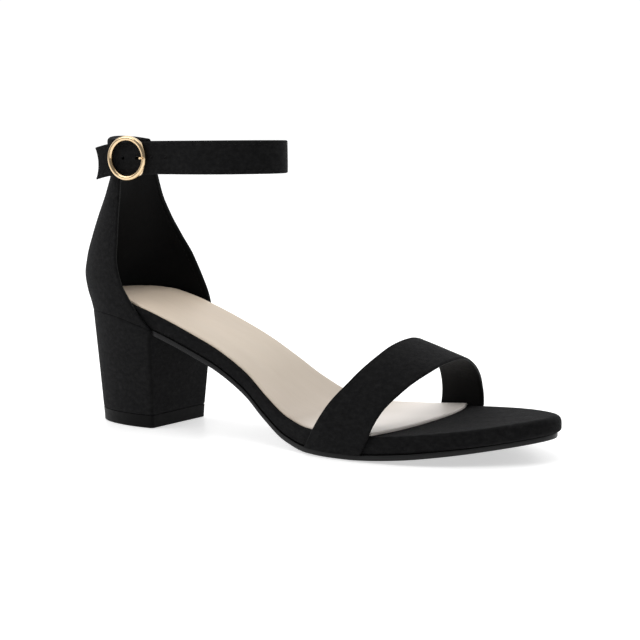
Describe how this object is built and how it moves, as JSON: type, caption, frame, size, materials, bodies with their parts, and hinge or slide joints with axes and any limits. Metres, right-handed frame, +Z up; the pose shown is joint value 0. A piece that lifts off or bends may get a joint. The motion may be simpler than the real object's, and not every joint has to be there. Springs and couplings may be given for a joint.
{
  "type": "block heel sandal",
  "caption": "Open-toe block heel sandal, right shoe, with one toe band, a closed heel quarter and a buckled ankle strap",
  "frame": {"origin": "middle of the heel's floor face (mount heel_rest)", "axes": "+X to the toe, +Y to the inner side of the foot, +Z up"},
  "size_m": [0.2358, 0.0877, 0.1328],
  "materials": {
    "suede_cover": "black microsuede with a short matte nap",
    "insole_leather": "smooth beige lining leather, soft sheen",
    "sole_resin": "thin black outsole, satin",
    "lift_rubber": "hard black heel lift, satin",
    "gold_metal": "polished light gold plating"
  },
  "bodies": {
    "root": {"outsole": "sole_resin", "footbed": "suede_cover", "insole": "insole_leather", "heel_block": "suede_cover", "top_piece": "lift_rubber", "counter": "suede_cover", "vamp_band": "suede_cover", "ankle_strap": "suede_cover", "buckle_frame": "gold_metal", "buckle_prong": "gold_metal"}
  },
  "joints": []
}
